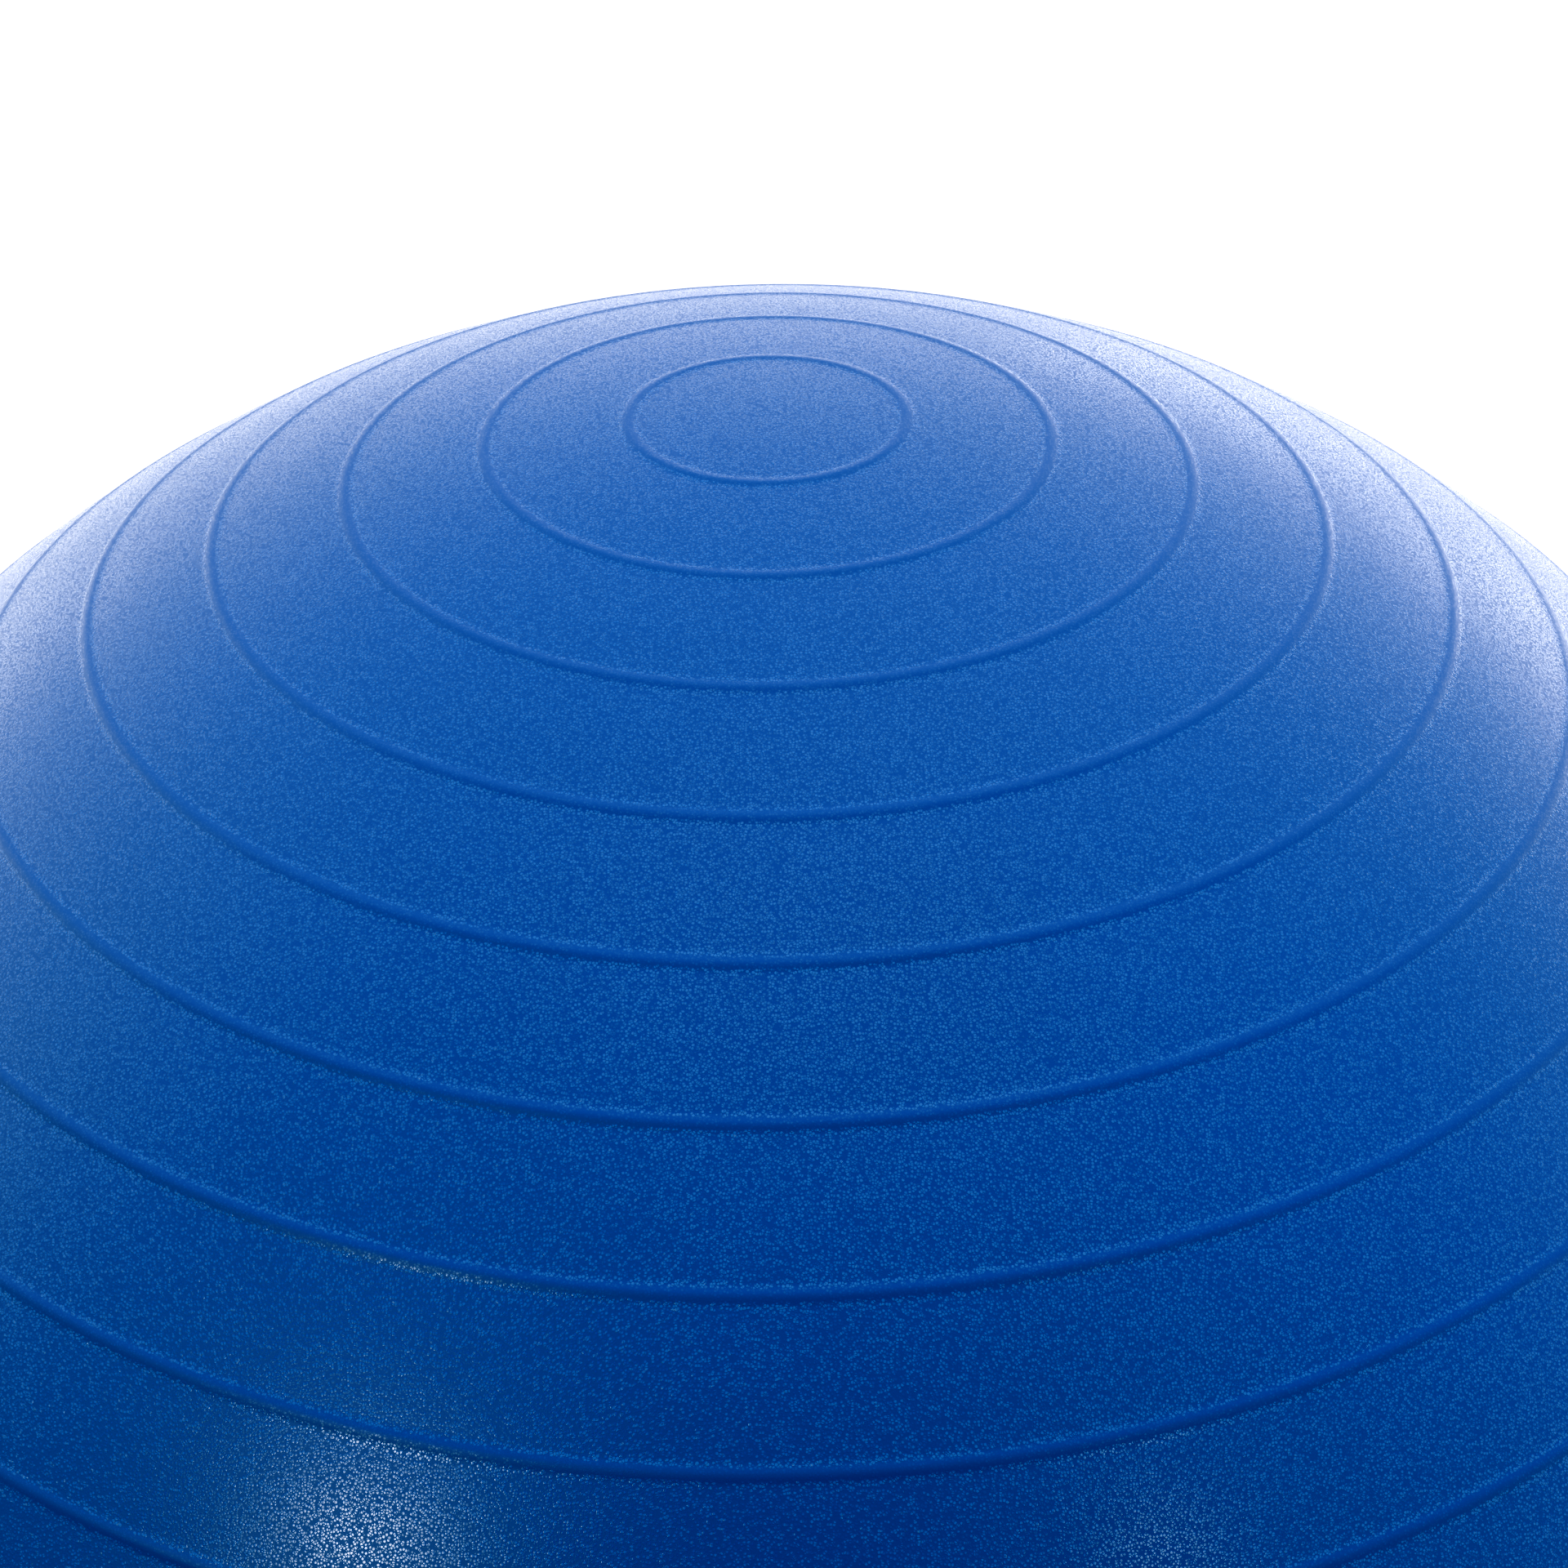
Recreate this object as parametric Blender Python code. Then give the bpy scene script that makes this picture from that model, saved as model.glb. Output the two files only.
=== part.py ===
"""An inflatable exercise ball: a hollow ribbed skin, the valve seat bonded into its lower pole
and the removable plug that closes it. Everything is turned about the vertical axis.

Metres, +Z up. The origin is on the floor, under the middle of the ball.
"""

import math

import bpy

# Driving dimensions
BALL_RADIUS = 0.325  # skin between the ribs
WALL = 0.0008
GAP = 0.0003  # between pieces that touch

RIBS = 29  # pole to pole, the middle one on the equator
FIRST_RIB_ANGLE = 0.1002  # from the pole, so the plain disc inside it is 65 mm across
RIB_WIDTH = 0.0032
RIB_HEIGHT = 0.0008

FOOT_RADIUS = 0.040  # flat that the ball's own weight presses into the skin
FOOT_FILLET = 0.060  # radius of the bend between the flat and the sphere
FOOT_FILLET_STEPS = 3

SEAT_NECK_RADIUS = 0.0120  # where the seat passes through the skin
SEAT_FLANGE_RADIUS = 0.0190
SEAT_FLANGE_THICKNESS = 0.0018
SEAT_RECESS = 0.0005  # the seat's lower face, and the plug's, stay clear of the floor
SEAT_COLLAR_RADIUS = 0.0085
SEAT_HEIGHT = 0.0135

BORE_RADIUS = 0.0047
PLUG_CLEARANCE = 0.0004  # the barbs are drawn as the bore squeezes them
HEAD_RADIUS = 0.0082
HEAD_THICKNESS = 0.0015
STEM_CORE_RADIUS = 0.0034
STEM_TOP = 0.0250
BARBS = 4
BARB_FIRST = 0.0058
BARB_PITCH = 0.0036
BARB_RAMP = 0.0020
BARB_LAND = 0.0003
STEM_TIP_RADIUS = 0.0026
STEM_HOLLOW_RADIUS = 0.0014
STEM_HOLLOW_DEPTH = 0.0170

SHELL_SEGMENTS = 40
VALVE_SEGMENTS = 24

# Worked out from them
FILLET_REACH = BALL_RADIUS - FOOT_FILLET
FOOT_DEPTH = FILLET_REACH - math.sqrt(FILLET_REACH**2 - FOOT_RADIUS**2)
CENTRE_HEIGHT = BALL_RADIUS - FOOT_DEPTH
FILLET_ANGLE = math.asin(FOOT_RADIUS / FILLET_REACH)
RIB_PITCH = (math.pi - 2 * FIRST_RIB_ANGLE) / (RIBS - 1)
RIB_HALF_ANGLE = RIB_WIDTH / 2 / BALL_RADIUS
LIP_RADIUS = SEAT_NECK_RADIUS + GAP
HEAD_BOTTOM = SEAT_RECESS
HEAD_TOP = HEAD_BOTTOM + HEAD_THICKNESS
RECESS_TOP = HEAD_TOP + GAP


def clear_scene():
    for thing in list(bpy.data.objects):
        bpy.data.objects.remove(thing)


def material(name, colour, roughness):
    made = bpy.data.materials.new(name)
    made.use_nodes = True
    shader = made.node_tree.nodes["Principled BSDF"]
    shader.inputs["Base Color"].default_value = (*colour, 1.0)
    shader.inputs["Roughness"].default_value = roughness
    shader.inputs["Metallic"].default_value = 0.0
    return made


def on_ball(angle, radius):
    """A point of the upright section, at this angle from the upper pole."""
    return (radius * math.sin(angle), CENTRE_HEIGHT + radius * math.cos(angle))


def rib_angles():
    """The ribs above the flat. The lowest is pressed into it, so it has no relief there."""
    every = [FIRST_RIB_ANGLE + i * RIB_PITCH for i in range(RIBS)]
    lowest = math.pi - FILLET_ANGLE - RIB_HALF_ANGLE
    return [angle for angle in every if angle < lowest]


def fillet(radius, steps):
    """The bend from the sphere down to the flat, as an arc about the fillet's own centre."""
    points = []
    for i in range(steps + 1):
        angle = FILLET_ANGLE * (1 - i / steps)
        points.append(
            (FOOT_RADIUS + radius * math.sin(angle), FOOT_FILLET - radius * math.cos(angle))
        )
    return points


def shell_profile():
    """Down the outside from the upper pole to the valve hole, then back up the inside."""
    outside = [on_ball(0.0, BALL_RADIUS)]
    for angle in rib_angles():
        outside.append(on_ball(angle - RIB_HALF_ANGLE, BALL_RADIUS))
        outside.append(on_ball(angle, BALL_RADIUS + RIB_HEIGHT))
        outside.append(on_ball(angle + RIB_HALF_ANGLE, BALL_RADIUS))
    outside += fillet(FOOT_FILLET, FOOT_FILLET_STEPS)
    outside.append((LIP_RADIUS, 0.0))

    inside = [(LIP_RADIUS, WALL)]
    inside += reversed(fillet(FOOT_FILLET - WALL, FOOT_FILLET_STEPS))
    inside += [on_ball(angle, BALL_RADIUS - WALL) for angle in reversed(rib_angles())]
    inside.append(on_ball(0.0, BALL_RADIUS - WALL))
    return outside + inside


def seat_profile():
    """A flanged collar, from the inner rim of its top face, out and down, and up the bore."""
    flange_bottom = WALL + GAP
    flange_top = flange_bottom + SEAT_FLANGE_THICKNESS
    collar_chamfer = 0.0008
    recess_radius = HEAD_RADIUS + PLUG_CLEARANCE
    return [
        (BORE_RADIUS, SEAT_HEIGHT),
        (SEAT_COLLAR_RADIUS - collar_chamfer, SEAT_HEIGHT),
        (SEAT_COLLAR_RADIUS, SEAT_HEIGHT - collar_chamfer),
        (SEAT_COLLAR_RADIUS, flange_top + collar_chamfer),
        (SEAT_COLLAR_RADIUS + collar_chamfer, flange_top),
        (SEAT_FLANGE_RADIUS, flange_top),
        (SEAT_FLANGE_RADIUS, flange_bottom),
        (SEAT_NECK_RADIUS, flange_bottom),
        (SEAT_NECK_RADIUS, SEAT_RECESS),
        (recess_radius, SEAT_RECESS),
        (recess_radius, RECESS_TOP),
        (BORE_RADIUS, RECESS_TOP),
    ]


def plug_profile():
    """Down the outside from the open inner end of the stem, and back up its blind hole."""
    barb_radius = BORE_RADIUS - PLUG_CLEARANCE
    head_chamfer = 0.0004
    hollow_bottom = STEM_TOP - STEM_HOLLOW_DEPTH
    profile = [
        (STEM_HOLLOW_RADIUS, STEM_TOP),
        (STEM_TIP_RADIUS, STEM_TOP),
    ]
    for i in reversed(range(BARBS)):
        barb_bottom = BARB_FIRST + i * BARB_PITCH
        profile += [
            (STEM_CORE_RADIUS, barb_bottom + BARB_RAMP),
            (barb_radius, barb_bottom + BARB_LAND),
            (barb_radius, barb_bottom),
            (STEM_CORE_RADIUS, barb_bottom),
        ]
    profile += [
        (STEM_CORE_RADIUS, HEAD_TOP),
        (HEAD_RADIUS, HEAD_TOP),
        (HEAD_RADIUS, HEAD_BOTTOM + head_chamfer),
        (HEAD_RADIUS - head_chamfer, HEAD_BOTTOM),
        (0.0, HEAD_BOTTOM),
        (0.0, hollow_bottom),
        (STEM_HOLLOW_RADIUS, hollow_bottom),
    ]
    return profile


def turn(name, profile, segments, colour_material):
    """Turn a profile in the X-Z plane, which runs down its outer side, once about Z.

    A run of points that starts and ends on the axis stays open there. Any other is a loop.
    """
    mesh = bpy.data.meshes.new(name)
    on_axis = [i for i, (x, _) in enumerate(profile) if x == 0.0]
    edges = [(i, (i + 1) % len(profile)) for i in range(len(profile))]
    edges = [(a, b) for a, b in edges if not (a in on_axis and b in on_axis)]
    mesh.from_pydata([(x, 0.0, z) for x, z in profile], edges, [])
    mesh.materials.append(colour_material)

    turned = bpy.data.objects.new(name, mesh)
    bpy.context.scene.collection.objects.link(turned)
    screw = turned.modifiers.new("Turn", "SCREW")
    screw.axis = "Z"
    screw.angle = 2 * math.pi
    screw.steps = segments
    screw.render_steps = segments
    screw.use_merge_vertices = True
    screw.merge_threshold = 0.00001
    screw.use_smooth_shade = True
    return turned


def build():
    clear_scene()
    skin = material("blue_pvc", (0.005, 0.100, 0.420), 0.35)
    insert = material("blue_insert", (0.005, 0.070, 0.300), 0.40)
    stopper = material("white_plug", (0.800, 0.800, 0.780), 0.45)
    turn("ball_shell", shell_profile(), SHELL_SEGMENTS, skin)
    turn("valve_seat", seat_profile(), VALVE_SEGMENTS, insert)
    turn("valve_plug", plug_profile(), VALVE_SEGMENTS, stopper)


build()
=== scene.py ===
"""The looks of the exercise ball: a finely meshed ribbed skin with its pebbled grain, a finer
valve seat and plug, a white studio floor, soft light and the camera.

Metres, +Z up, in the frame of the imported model.
"""

import math

import bpy
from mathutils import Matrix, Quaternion, Vector


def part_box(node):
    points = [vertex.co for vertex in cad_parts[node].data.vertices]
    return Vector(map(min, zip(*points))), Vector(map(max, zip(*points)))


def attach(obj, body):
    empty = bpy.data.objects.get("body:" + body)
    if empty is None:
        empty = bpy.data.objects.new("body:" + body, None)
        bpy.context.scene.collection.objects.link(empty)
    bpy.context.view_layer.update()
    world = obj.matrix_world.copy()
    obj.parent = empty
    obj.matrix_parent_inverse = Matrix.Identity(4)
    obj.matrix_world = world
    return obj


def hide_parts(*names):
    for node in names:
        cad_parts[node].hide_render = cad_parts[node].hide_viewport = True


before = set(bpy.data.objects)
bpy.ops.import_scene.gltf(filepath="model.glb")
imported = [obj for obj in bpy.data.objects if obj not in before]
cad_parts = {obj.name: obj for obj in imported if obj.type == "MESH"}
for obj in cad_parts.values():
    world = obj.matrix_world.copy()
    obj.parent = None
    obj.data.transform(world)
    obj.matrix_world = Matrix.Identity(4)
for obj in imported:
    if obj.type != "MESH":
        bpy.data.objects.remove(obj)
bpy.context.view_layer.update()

# The ball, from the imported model
SKIN_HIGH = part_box("ball_shell")[1]
SEAT_LOW, SEAT_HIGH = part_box("valve_seat")
PLUG_LOW, PLUG_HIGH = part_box("valve_plug")
CAD_RIB_HEIGHT = 0.0008
RADIUS = SKIN_HIGH.x - CAD_RIB_HEIGHT  # skin between the ribs
CENTRE_HEIGHT = SKIN_HIGH.z - RADIUS

# Skin
WALL = 0.0008
RIBS = 29
FIRST_RIB_ANGLE = 0.1002
RIB_PITCH = (math.pi - 2 * FIRST_RIB_ANGLE) / (RIBS - 1)
RIB_HALF_WIDTH = 0.0022
RIB_HEIGHT = 0.00035
RIB_SMOOTH = 0.5  # share of the rib that its smooth crown takes up
RIB_FOOT = 0.0008
RIB_STEPS = (-1.0, -0.75, -0.5, -0.25, 0.0, 0.25, 0.5, 0.75, 1.0)
FIELD_ROWS = 3
CAP_ROWS = 4
FOOT_RADIUS = 0.040  # flat that the ball stands on
FOOT_FILLET = 0.060
FOOT_FILLET_ROWS = 10
FOOT_FILLET_ANGLE = math.asin(FOOT_RADIUS / (RADIUS - FOOT_FILLET))
FOOT_FLAT_ROWS = 3
LIP_RADIUS = 0.0123  # the skin's valve hole
SKIN_SEGMENTS = 192
GRAIN_PITCH = 0.00064  # between one bead of the pebbled grain and the next
GRAIN_HEIGHT = 0.000028
BEAD_REACH = 0.62  # from a bead's centre to its edge, in grain pitches
BEAD_GAP = 0.13  # kept between beads that would touch, in grain pitches
BEAD_FLATNESS = 4.0  # 2 is a round dome, and more has a flatter top and steeper sides
PAINTED_HIGHLIGHT_FLATNESS = 2.0  # the same, for how a bead's painted highlight, its paler blue, fades towards its edge
LOWEST_BEAD = 0.35  # of the highest
CROWN_GRAIN = 0.35  # height and painted highlight of the beads on the ribs' crowns, where it is 1 between ribs
FOOT_GRAIN = 1.6  # and along the ribs' feet
SKIN_BLUE = (0.0, 0.064, 0.470)
# The paler, whiter blue of the beads' tops is a painted highlight, standing in for the glint each
# glossy bead shows
PAINTED_HIGHLIGHT_BLUE = (0.046, 0.180, 0.735)
SKIN_ROUGHNESS = 0.52
CROWN_ROUGHNESS = 0.55
BEAD_ROUGHNESS = 0.21
PAINTED_HIGHLIGHT_FULL = 0.9  # at which a bead's top shows all of its painted highlight blue
GLOSS_FULL = 0.5  # relief at which it has all of its gloss
SHEEN = 0.25
SHEEN_ROUGHNESS = 0.3
PATCH_SCALE = 9.0  # of the faint patches in the blue, per metre
PATCH_DARK = 0.98
PATCH_PALE = 1.02

# Valve
VALVE_SEGMENTS = 96
BORE_RADIUS = 0.0047
SEAT_DARK = (0.002, 0.045, 0.25)
SEAT_PALE = (0.002, 0.060, 0.31)
SEAT_ROUGHNESS = 0.38
SEAT_MOTTLE = 400.0  # per metre
SEAT_MOTTLE_HEIGHT = 0.00004
PLUG_DARK = (0.70, 0.70, 0.67)
PLUG_PALE = (0.80, 0.80, 0.78)
PLUG_ROUGHNESS = 0.42
PLUG_MOTTLE = 700.0
PLUG_MOTTLE_HEIGHT = 0.00003

# Camera, aimed at the ball's centre and then turned off it
CAMERA_DISTANCE = 1.02515
CAMERA_ELEVATION = 0.74873
CAMERA_PAN = 0.00305
CAMERA_TILT = 0.18425
CAMERA_ROLL = -0.01684
CAMERA_LENS = 82.28

# Studio
FLOOR_SIZE = 40.0
FLOOR_WHITE = 0.86
FLOOR_EMISSION = 0.42
BACKDROP = 1.1
GLOW_TIGHTNESS = 6.0
GLOWS = (  # azimuth, elevation and brightness; azimuth 0 is the camera's side, and 90 is +X
    (180, 90, 1.15),  # overhead
    (60, 35, 0.55),  # fill from the front right
    (-110, 25, 1.15),  # left
    (145, 35, 0.8),  # behind, right and middle
    (-175, 15, 0.8),
    (95, -10, 0.8),  # low, from the right side round behind, like a white floor's light
    (145, -20, 2.0),
    (-145, -20, 2.0),
    (180, -45, 1.6),
)
RIM_ELEVATION = 5
RIM_DISTANCE = 3.0
RIM_SIZE = (1.0, 0.9)
RIM = ((160, 1.9), (140, 3.5), (120, 0.5), (-120, 0.8), (-140, 1.4))  # azimuth, brightness
FRONT_DISTANCE = 2.6
FRONT_LAMPS = (  # name, azimuth, elevation, size, brightness
    ("front_left", -38.8, 28.7, 0.26, 58),
    ("front_right", 34, 28.5, 0.20, 16),
)
DARKEST = 0.01  # of what surrounds the ball
BOUNCE_DEPTH = 1.2  # below the floor
BOUNCE_SIZE = (3.0, 3.0)
BOUNCE = 1.0
# Light and how bright it is shown, between the (0, 0) and (1, 1) of each curve
RED_CURVE = ((0.05, 0.004), (0.10, 0.036), (0.30, 0.238))
GREEN_CURVE = ((0.05, 0.026), (0.10, 0.092), (0.25, 0.253))
BLUE_CURVE = ((0.22, 0.175), (0.33, 0.345), (0.60, 0.63))


# Meshes


def on_ball(angle, radius):
    """Distance from the axis and height of a point at this angle from the upper pole."""
    return radius * math.sin(angle), CENTRE_HEIGHT + radius * math.cos(angle)


def rib_angles():
    """The ribs above the flat. The lowest is pressed into it, so it has no relief there."""
    every = [FIRST_RIB_ANGLE + i * RIB_PITCH for i in range(RIBS)]
    lowest = math.pi - FOOT_FILLET_ANGLE - RIB_HALF_WIDTH / RADIUS
    return [angle for angle in every if angle < lowest]


def rib_relief(step):
    """Height of the rib's section, a low wave that meets the skin smoothly, at -1 to 1 across."""
    return RIB_HEIGHT * (1 - step**2) ** 2


def rib_rows(angle):
    """Section rows over one rib, each with its grain: little on the smooth crown."""
    half = RIB_HALF_WIDTH / RADIUS
    foot = RIB_FOOT / RADIUS
    rows = [(*on_ball(angle - half - foot, RADIUS), 1.0)]
    for step in RIB_STEPS:
        r, z = on_ball(angle + step * half, RADIUS + rib_relief(step))
        rows.append((r, z, FOOT_GRAIN if abs(step) > RIB_SMOOTH else CROWN_GRAIN))
    rows.append((*on_ball(angle + half + foot, RADIUS), 1.0))
    return rows


def field_rows(start, end, count):
    """Section rows between two ribs."""
    step = (end - start) / (count + 1)
    return [(*on_ball(start + step * (i + 1), RADIUS), 1.0) for i in range(count)]


def fillet_rows(radius, count):
    """Section rows of the bend from the sphere down to the flat."""
    rows = []
    for i in range(count + 1):
        angle = FOOT_FILLET_ANGLE * (1 - i / count)
        r = FOOT_RADIUS + radius * math.sin(angle)
        rows.append((r, FOOT_FILLET - radius * math.cos(angle), 1.0))
    return rows


def skin_rows():
    """The skin's section down its outside from the upper pole, and back up its inside."""
    margin = (RIB_HALF_WIDTH + RIB_FOOT) / RADIUS
    angles = rib_angles()
    rows = [(0.0, CENTRE_HEIGHT + RADIUS, 1.0)]
    rows += field_rows(0.0, angles[0] - margin, CAP_ROWS)
    for angle, following in zip(angles, angles[1:]):
        rows += rib_rows(angle)
        rows += field_rows(angle + margin, following - margin, FIELD_ROWS)
    rows += rib_rows(angles[-1])
    rows += fillet_rows(FOOT_FILLET, FOOT_FILLET_ROWS)
    for i in range(1, FOOT_FLAT_ROWS + 1):
        share = i / FOOT_FLAT_ROWS
        rows.append((FOOT_RADIUS + (LIP_RADIUS - FOOT_RADIUS) * share, 0.0, 1.0))

    rows.append((LIP_RADIUS, WALL, 0.0))
    rows += [(r, z, 0.0) for r, z, _ in reversed(fillet_rows(FOOT_FILLET - WALL, 4))]
    rows += [(*on_ball(angle, RADIUS - WALL), 0.0) for angle in reversed(angles)]
    rows.append((0.0, CENTRE_HEIGHT + RADIUS - WALL, 0.0))
    return rows


def turned(name, rows, segments, closed):
    """A solid turned about Z from section rows of (distance from axis, height, grain).

    A row on the axis is one point. A closed section joins its last row to its first.
    """
    points = []
    grains = []
    rings = []
    for r, z, grain in rows:
        count = 1 if r == 0.0 else segments
        rings.append([len(points) + i for i in range(count)])
        for i in range(count):
            turn = 2 * math.pi * i / segments
            points.append((r * math.cos(turn), r * math.sin(turn), z))
            grains.append(grain)
    pairs = list(zip(rings, rings[1:]))
    if closed:
        pairs.append((rings[-1], rings[0]))
    faces = []
    for upper, lower in pairs:
        if len(upper) == 1 and len(lower) == 1:
            continue
        for i in range(segments):
            j = (i + 1) % segments
            corners = [upper[i % len(upper)], lower[i % len(lower)]]
            corners += [lower[j % len(lower)], upper[j % len(upper)]]
            faces.append(list(dict.fromkeys(corners)))
    mesh = bpy.data.meshes.new(name)
    mesh.from_pydata(points, [], faces)
    mesh.shade_smooth()
    mesh.attributes.new("grain", "FLOAT", "POINT").data.foreach_set("value", grains)
    piece = bpy.data.objects.new(name, mesh)
    bpy.context.scene.collection.objects.link(piece)
    return piece


def sharpen(piece, degrees):
    """Keeps the real edges of a turned piece crisp."""
    piece.data.set_sharp_from_angle(angle=math.radians(degrees))


def seat_rows():
    """A flanged collar, from the inner rim of its top face, out and down, and up the bore."""
    flange_bottom = WALL + 0.0003
    flange_top = flange_bottom + 0.0018
    collar = 0.0085
    flange = SEAT_HIGH.x
    neck = 0.0120
    recess = 0.0086
    recess_top = SEAT_LOW.z + 0.0018
    soft = 0.0003
    section = [
        (BORE_RADIUS + soft, SEAT_HIGH.z),
        (collar - 2 * soft, SEAT_HIGH.z),
        (collar - soft / 2, SEAT_HIGH.z - soft / 2),
        (collar, SEAT_HIGH.z - 2 * soft),
        (collar, flange_top + 4 * soft),
        (collar + soft, flange_top + soft),
        (collar + 4 * soft, flange_top),
        (flange - 2 * soft, flange_top),
        (flange - soft / 2, flange_top - soft / 2),
        (flange, flange_top - 2 * soft),
        (flange, flange_bottom + soft),
        (flange - soft, flange_bottom),
        (neck, flange_bottom),
        (neck, SEAT_LOW.z + 2 * soft),
        (neck - soft / 2, SEAT_LOW.z + soft / 2),
        (neck - 2 * soft, SEAT_LOW.z),
        (recess + soft, SEAT_LOW.z),
        (recess, SEAT_LOW.z + soft),
        (recess, recess_top),
        (BORE_RADIUS + soft, recess_top),
        (BORE_RADIUS, recess_top + soft),
        (BORE_RADIUS, SEAT_HIGH.z - soft),
    ]
    return [(r, z, 0.0) for r, z in section]


def plug_rows():
    """Down the outside from the open inner end of the stem, and back up its blind hole."""
    barbs = 4
    barb_first = 0.0058
    barb_pitch = 0.0036
    barb_ramp = 0.0020
    barb = 0.0043
    core = 0.0034
    tip = 0.0026
    hollow = 0.0014
    head = PLUG_HIGH.x
    head_top = PLUG_LOW.z + 0.0015
    hollow_bottom = PLUG_HIGH.z - 0.0170
    soft = 0.0003
    section = [
        (hollow, PLUG_HIGH.z - soft),
        (hollow + soft, PLUG_HIGH.z),
        (tip - soft, PLUG_HIGH.z),
        (tip, PLUG_HIGH.z - soft),
    ]
    for i in reversed(range(barbs)):
        bottom = barb_first + i * barb_pitch
        section += [
            (core, bottom + barb_ramp),
            (barb, bottom + soft),
            (barb, bottom + soft / 3),
            (barb - soft / 3, bottom),
            (core, bottom),
        ]
    section += [
        (core, head_top + soft),
        (core + soft, head_top),
        (head - soft, head_top),
        (head, head_top - soft),
        (head, PLUG_LOW.z + 2 * soft),
        (head - soft / 2, PLUG_LOW.z + soft / 2),
        (head - 2 * soft, PLUG_LOW.z),
        (0.0, PLUG_LOW.z),
        (0.0, hollow_bottom),
        (hollow, hollow_bottom),
    ]
    return [(r, z, 0.0) for r, z in section]


# Materials


def new_material(name):
    made = bpy.data.materials.new(name)
    made.use_nodes = True
    nodes = made.node_tree.nodes
    return made, nodes, made.node_tree.links, nodes["Principled BSDF"]


def set_socket(node, name, value):
    node.inputs[name].default_value = value


def math_node(nodes, links, operation, first, second, clamp=False):
    """A Math node. Each operand is a socket or a number."""
    node = nodes.new("ShaderNodeMath")
    node.operation = operation
    node.use_clamp = clamp
    for i, operand in enumerate((first, second)):
        if isinstance(operand, (int, float)):
            node.inputs[i].default_value = operand
        else:
            links.new(operand, node.inputs[i])
    return node.outputs["Value"]


def smooth_step(nodes, links, value, start, end, low, high):
    """Low up to start, high from end on, and a smooth change between them."""
    node = nodes.new("ShaderNodeMapRange")
    node.interpolation_type = "SMOOTHSTEP"
    links.new(value, node.inputs["Value"])
    set_socket(node, "From Min", start)
    set_socket(node, "From Max", end)
    set_socket(node, "To Min", low)
    set_socket(node, "To Max", high)
    return node.outputs["Result"]


def mix_numbers(nodes, links, share, first, second):
    """The first number where share is 0, and the second where it is 1.

    Its two number sockets go by place, because the node has other sockets of the same names.
    """
    node = nodes.new("ShaderNodeMix")
    links.new(share, node.inputs["Factor"])
    for socket, operand in ((node.inputs[2], first), (node.inputs[3], second)):
        if isinstance(operand, (int, float)):
            socket.default_value = operand
        else:
            links.new(operand, socket)
    return node.outputs[0]


def mix_colours(nodes, links, share, first, second):
    """The first colour where share is 0, and the second where it is 1.

    Its two colour sockets go by place too.
    """
    node = nodes.new("ShaderNodeMix")
    node.data_type = "RGBA"
    links.new(share, node.inputs["Factor"])
    node.inputs[6].default_value = (*first, 1.0)
    node.inputs[7].default_value = (*second, 1.0)
    return node.outputs[2]


def scale_colour(nodes, links, colour, factor):
    node = nodes.new("ShaderNodeVectorMath")
    node.operation = "SCALE"
    links.new(colour, node.inputs[0])
    links.new(factor, node.inputs["Scale"])
    return node.outputs["Vector"]


def colour_ramp(nodes, links, factor, dark, pale):
    """Dark where the factor, a noise, is low, and pale where it is high."""
    node = nodes.new("ShaderNodeValToRGB")
    links.new(factor, node.inputs["Fac"])
    for element, place, colour in zip(node.color_ramp.elements, (0.3, 0.7), (dark, pale)):
        element.position = place
        element.color = (*colour, 1.0)
    return node.outputs["Color"]


def noise(nodes, links, vector, scale, detail):
    node = nodes.new("ShaderNodeTexNoise")
    set_socket(node, "Scale", scale)
    set_socket(node, "Detail", detail)
    links.new(vector, node.inputs["Vector"])
    return node.outputs["Fac"]


def bump(nodes, links, height, distance):
    node = nodes.new("ShaderNodeBump")
    set_socket(node, "Strength", 1.0)
    set_socket(node, "Distance", distance)
    links.new(height, node.inputs["Height"])
    return node.outputs["Normal"]


def cells(nodes, links, vector, feature):
    """A random lattice of cells, one grain pitch apart. Distances in it are in pitches."""
    node = nodes.new("ShaderNodeTexVoronoi")
    node.feature = feature
    set_socket(node, "Scale", 1 / GRAIN_PITCH)
    links.new(vector, node.inputs["Vector"])
    return node


def beads(nodes, links, vector):
    """Round beads, one to a cell and each of its own height.

    Gives their relief, which is 0 between them, and their painted highlight, a paler blue that
    stands in for each bead's glint and fades from a bead's middle to its edge.
    """
    lattice = cells(nodes, links, vector, "F1")
    reach = math_node(nodes, links, "DIVIDE", lattice.outputs["Distance"], BEAD_REACH)
    chance = nodes.new("ShaderNodeSeparateColor")
    links.new(lattice.outputs["Color"], chance.inputs["Color"])
    height = math_node(nodes, links, "MULTIPLY", chance.outputs["Red"], 1 - LOWEST_BEAD)
    height = math_node(nodes, links, "ADD", height, LOWEST_BEAD)
    apart = cells(nodes, links, vector, "DISTANCE_TO_EDGE").outputs["Distance"]
    apart = smooth_step(nodes, links, apart, 0.01, BEAD_GAP, 0.0, 1.0)
    height = math_node(nodes, links, "MULTIPLY", height, apart)
    shapes = []
    for flatness in (BEAD_FLATNESS, PAINTED_HIGHLIGHT_FLATNESS):
        fall = math_node(nodes, links, "POWER", reach, flatness)
        dome = math_node(nodes, links, "SUBTRACT", 1.0, fall, clamp=True)
        shapes.append(math_node(nodes, links, "MULTIPLY", dome, height))
    return shapes


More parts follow.
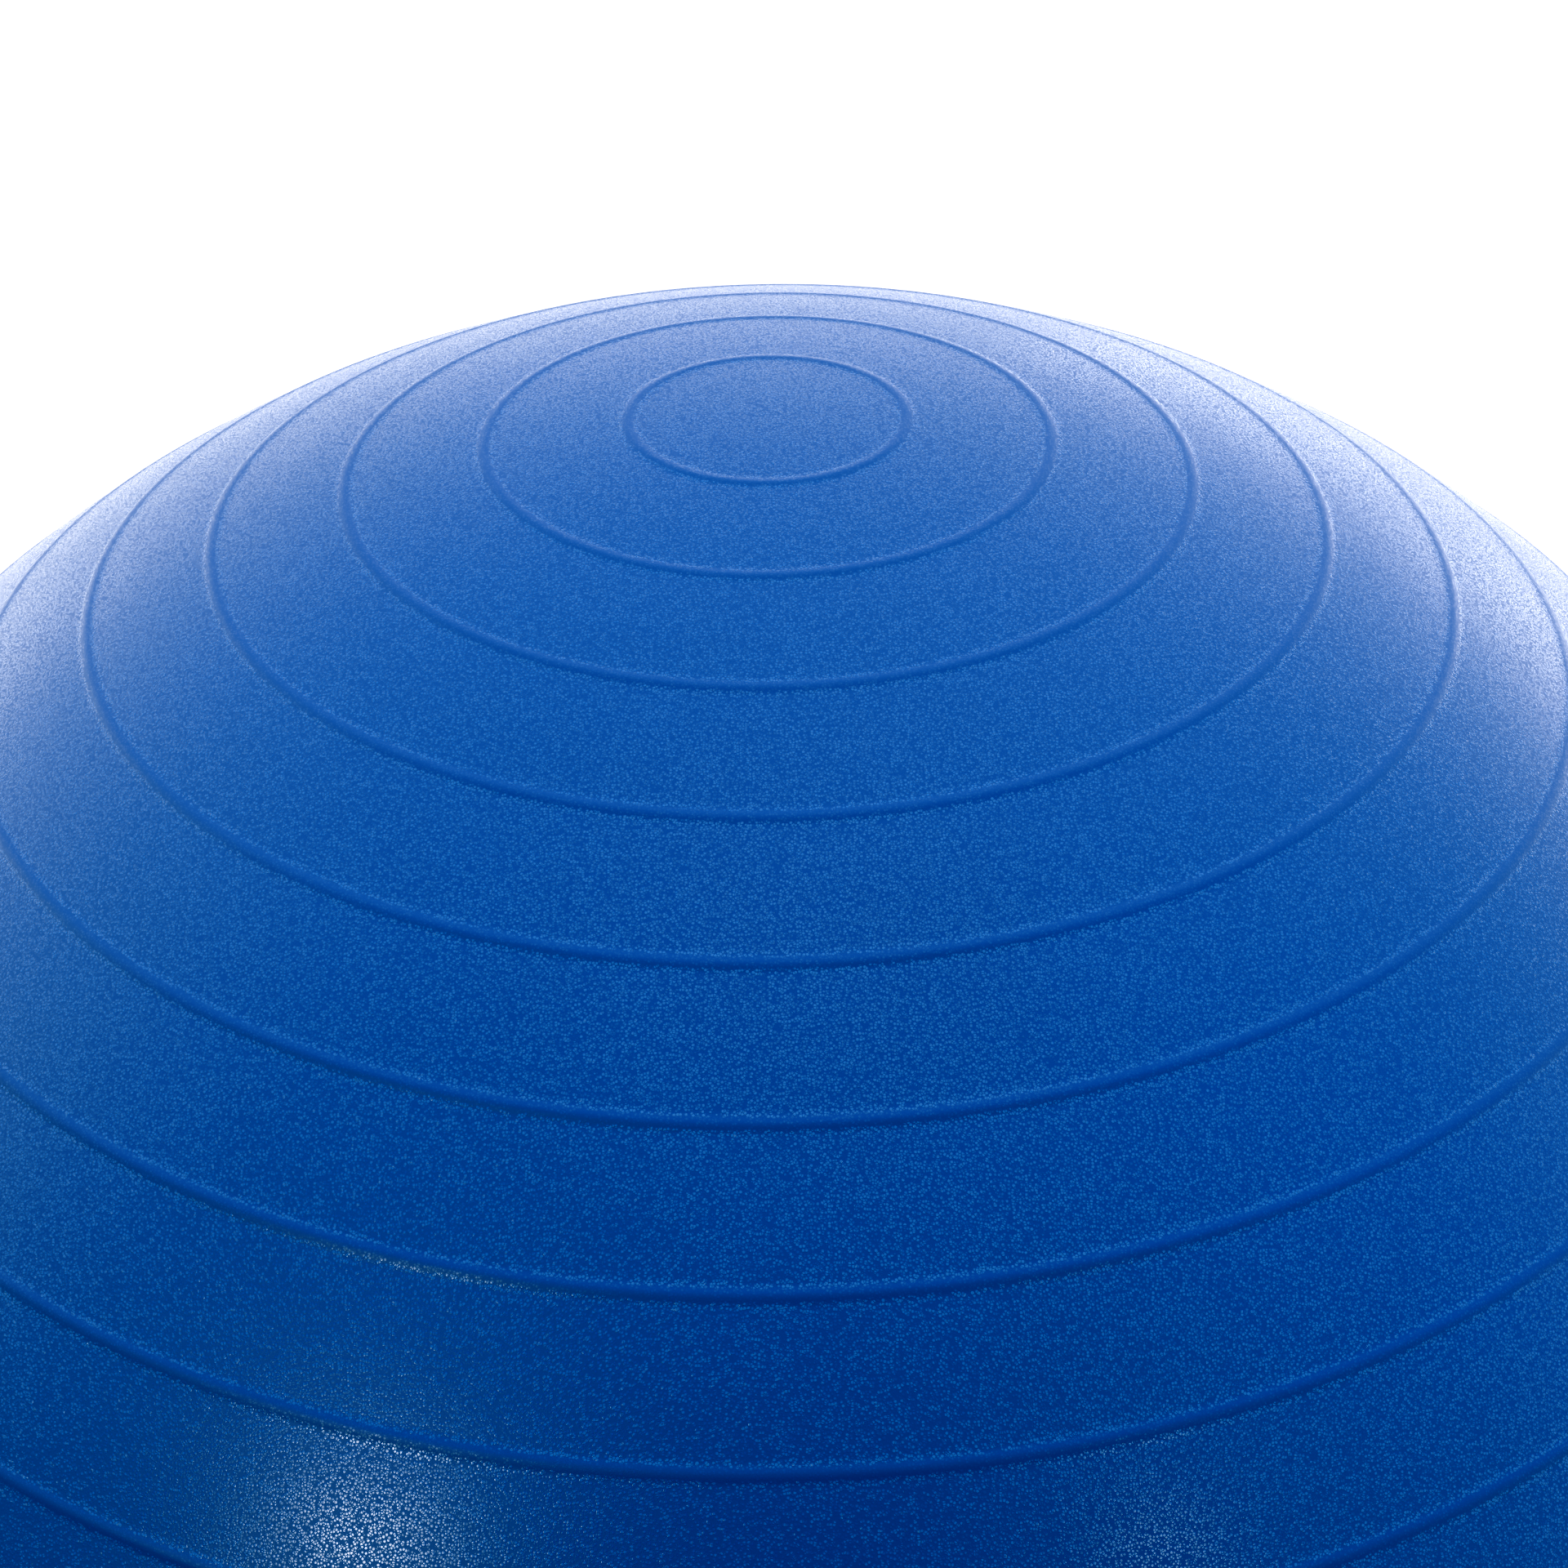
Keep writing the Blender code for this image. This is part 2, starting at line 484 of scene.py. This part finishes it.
def skin_material():
    """Blue PVC: matte, and covered with small glossy beads that are low on the ribs' crowns, each
    with a painted highlight of paler blue on its top.
    """
    made, nodes, links, shader = new_material("blue_pvc_skin")
    place = nodes.new("ShaderNodeTexCoord").outputs["Object"]
    grain = nodes.new("ShaderNodeAttribute")
    grain.attribute_name = "grain"
    amount = grain.outputs["Fac"]
    relief, painted_highlight = (
        math_node(nodes, links, "MULTIPLY", shape, amount) for shape in beads(nodes, links, place)
    )

    # The paler blue on the beads' tops is a painted highlight, standing in for their glints
    pale = smooth_step(nodes, links, painted_highlight, 0.0, PAINTED_HIGHLIGHT_FULL, 0.0, 1.0)
    blue = mix_colours(nodes, links, pale, SKIN_BLUE, PAINTED_HIGHLIGHT_BLUE)
    patches = noise(nodes, links, place, PATCH_SCALE, 3.0)
    tone = smooth_step(nodes, links, patches, 0.3, 0.7, PATCH_DARK, PATCH_PALE)
    links.new(scale_colour(nodes, links, blue, tone), shader.inputs["Base Color"])
    dull = smooth_step(nodes, links, amount, 0.2, 1.0, CROWN_ROUGHNESS, SKIN_ROUGHNESS)
    cover = smooth_step(nodes, links, relief, 0.0, GLOSS_FULL, 0.0, 1.0)
    gloss = mix_numbers(nodes, links, cover, dull, BEAD_ROUGHNESS)
    links.new(gloss, shader.inputs["Roughness"])
    links.new(bump(nodes, links, relief, GRAIN_HEIGHT), shader.inputs["Normal"])
    set_socket(shader, "Sheen Weight", SHEEN)
    set_socket(shader, "Sheen Roughness", SHEEN_ROUGHNESS)
    return made


def seat_material():
    made, nodes, links, shader = new_material("blue_insert_rubber")
    place = nodes.new("ShaderNodeTexCoord").outputs["Object"]
    mottle = noise(nodes, links, place, SEAT_MOTTLE, 3.0)
    blue = colour_ramp(nodes, links, mottle, SEAT_DARK, SEAT_PALE)
    links.new(blue, shader.inputs["Base Color"])
    set_socket(shader, "Roughness", SEAT_ROUGHNESS)
    links.new(bump(nodes, links, mottle, SEAT_MOTTLE_HEIGHT), shader.inputs["Normal"])
    return made


def plug_material():
    made, nodes, links, shader = new_material("white_plug_plastic")
    place = nodes.new("ShaderNodeTexCoord").outputs["Object"]
    mottle = noise(nodes, links, place, PLUG_MOTTLE, 4.0)
    white = colour_ramp(nodes, links, mottle, PLUG_DARK, PLUG_PALE)
    links.new(white, shader.inputs["Base Color"])
    set_socket(shader, "Roughness", PLUG_ROUGHNESS)
    links.new(bump(nodes, links, mottle, PLUG_MOTTLE_HEIGHT), shader.inputs["Normal"])
    return made


def floor_material():
    made, nodes, links, shader = new_material("white_floor")
    set_socket(shader, "Base Color", (FLOOR_WHITE, FLOOR_WHITE, FLOOR_WHITE, 1.0))
    set_socket(shader, "Roughness", 0.9)
    set_socket(shader, "Specular IOR Level", 0.0)
    set_socket(shader, "Emission Color", (1.0, 1.0, 1.0, 1.0))
    set_socket(shader, "Emission Strength", FLOOR_EMISSION)
    return made


# Pieces


def finish_piece(piece, material, body, node):
    piece.data.materials.append(material)
    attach(piece, body)
    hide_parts(node)


def make_skin():
    piece = turned("ball_skin", skin_rows(), SKIN_SEGMENTS, closed=False)
    sharpen(piece, 60)
    finish_piece(piece, skin_material(), "ball", "ball_shell")


def make_seat():
    piece = turned("seat_collar", seat_rows(), VALVE_SEGMENTS, closed=True)
    sharpen(piece, 50)
    finish_piece(piece, seat_material(), "ball", "valve_seat")


def make_plug():
    piece = turned("stopper", plug_rows(), VALVE_SEGMENTS, closed=True)
    sharpen(piece, 50)
    finish_piece(piece, plug_material(), "plug", "valve_plug")


# Studio


def make_floor():
    half = FLOOR_SIZE / 2
    mesh = bpy.data.meshes.new("studio_floor")
    corners = [(-half, -half, 0), (half, -half, 0), (half, half, 0), (-half, half, 0)]
    mesh.from_pydata(corners, [], [(0, 1, 2, 3)])
    mesh.materials.append(floor_material())
    floor = bpy.data.objects.new("studio_floor", mesh)
    floor.visible_diffuse = False
    floor.visible_glossy = False
    floor.visible_shadow = False
    bpy.context.scene.collection.objects.link(floor)


def towards(azimuth, elevation):
    """The direction from the ball. Azimuth 0 is the camera's side, and 90 is +X."""
    around, up = math.radians(azimuth), math.radians(elevation)
    return Vector((math.sin(around) * math.cos(up), -math.cos(around) * math.cos(up), math.sin(up)))


def glow(nodes, links, direction, centre, brightness):
    """One broad soft patch of light, brightest at its centre."""
    facing = nodes.new("ShaderNodeVectorMath")
    facing.operation = "DOT_PRODUCT"
    links.new(direction, facing.inputs[0])
    facing.inputs[1].default_value = centre
    away = math_node(nodes, links, "SUBTRACT", facing.outputs["Value"], 1.0)
    fall = math_node(nodes, links, "MULTIPLY", away, GLOW_TIGHTNESS)
    fall = math_node(nodes, links, "EXPONENT", fall, 0.0)
    return math_node(nodes, links, "MULTIPLY", fall, brightness)


def make_surroundings():
    """White to the camera, and to the ball a dark studio with broad soft patches of light."""
    world = bpy.data.worlds.new("studio")
    world.use_nodes = True
    bpy.context.scene.world = world
    nodes, links = world.node_tree.nodes, world.node_tree.links
    nodes.clear()
    direction = nodes.new("ShaderNodeTexCoord").outputs["Generated"]
    light = DARKEST
    for azimuth, elevation, brightness in GLOWS:
        patch = glow(nodes, links, direction, towards(azimuth, elevation), brightness)
        light = math_node(nodes, links, "ADD", patch, light)

    seen = nodes.new("ShaderNodeLightPath").outputs["Is Camera Ray"]
    background = nodes.new("ShaderNodeBackground")
    set_socket(background, "Color", (1.0, 1.0, 1.0, 1.0))
    shown = mix_numbers(nodes, links, seen, light, BACKDROP)
    links.new(shown, background.inputs["Strength"])
    output = nodes.new("ShaderNodeOutputWorld")
    links.new(background.outputs["Background"], output.inputs["Surface"])


def softbox(name, place, back, size, brightness):
    """A light that the camera doesn't see, which faces away from the direction of its back."""
    light = bpy.data.lights.new(name, "AREA")
    light.shape = "RECTANGLE"
    light.size, light.size_y = size
    light.energy = brightness * math.pi * size[0] * size[1]
    lamp = bpy.data.objects.new(name, light)
    lamp.location = place
    lamp.rotation_euler = back.to_track_quat("Z", "Y").to_euler()
    lamp.visible_camera = False
    bpy.context.scene.collection.objects.link(lamp)
    return lamp


def highlight(name, azimuth, elevation, distance, size, brightness):
    """A softbox that the ball mirrors, and that adds nothing to its matt light."""
    away = towards(azimuth, elevation)
    place = Vector((0, 0, CENTRE_HEIGHT)) + away * distance
    lamp = softbox(name, place, away, size, brightness)
    lamp.visible_diffuse = False


def make_bounce():
    """Stands in for the matt light that the floor throws up under the ball."""
    down = Vector((0, 0, -1))
    lamp = softbox("floor_bounce", down * BOUNCE_DEPTH, down, BOUNCE_SIZE, BOUNCE)
    lamp.visible_glossy = False


def make_lights():
    for azimuth, brightness in RIM:
        name = f"rim_{azimuth}"
        highlight(name, azimuth, RIM_ELEVATION, RIM_DISTANCE, RIM_SIZE, brightness)
    for name, azimuth, elevation, size, brightness in FRONT_LAMPS:
        highlight(name, azimuth, elevation, FRONT_DISTANCE, (size, size), brightness)
    make_bounce()


def make_camera():
    lens = bpy.data.cameras.new("camera")
    lens.lens = CAMERA_LENS
    lens.clip_start = 0.05
    lens.clip_end = 100.0
    camera = bpy.data.objects.new("camera", lens)
    away = Vector((0, -math.cos(CAMERA_ELEVATION), math.sin(CAMERA_ELEVATION)))
    camera.location = Vector((0, 0, CENTRE_HEIGHT)) + away * CAMERA_DISTANCE
    aim = (-away).to_track_quat("-Z", "Y")
    aim @= Quaternion((0, 1, 0), -CAMERA_PAN)
    aim @= Quaternion((1, 0, 0), CAMERA_TILT)
    aim @= Quaternion((0, 0, 1), CAMERA_ROLL)
    camera.rotation_euler = aim.to_euler()
    bpy.context.scene.collection.objects.link(camera)
    bpy.context.scene.camera = camera


def set_view():
    """A plain transform, with a print's contrast in the deep blues."""
    view = bpy.context.scene.view_settings
    view.view_transform = "Standard"
    view.look = "None"
    view.use_curve_mapping = True
    mapping = view.curve_mapping
    for curve, points in zip(mapping.curves, (RED_CURVE, GREEN_CURVE, BLUE_CURVE)):
        for light, shown in points:
            curve.points.new(light, shown)
    mapping.update()


make_camera()
make_skin()
make_seat()
make_plug()
make_floor()
make_surroundings()
make_lights()
set_view()
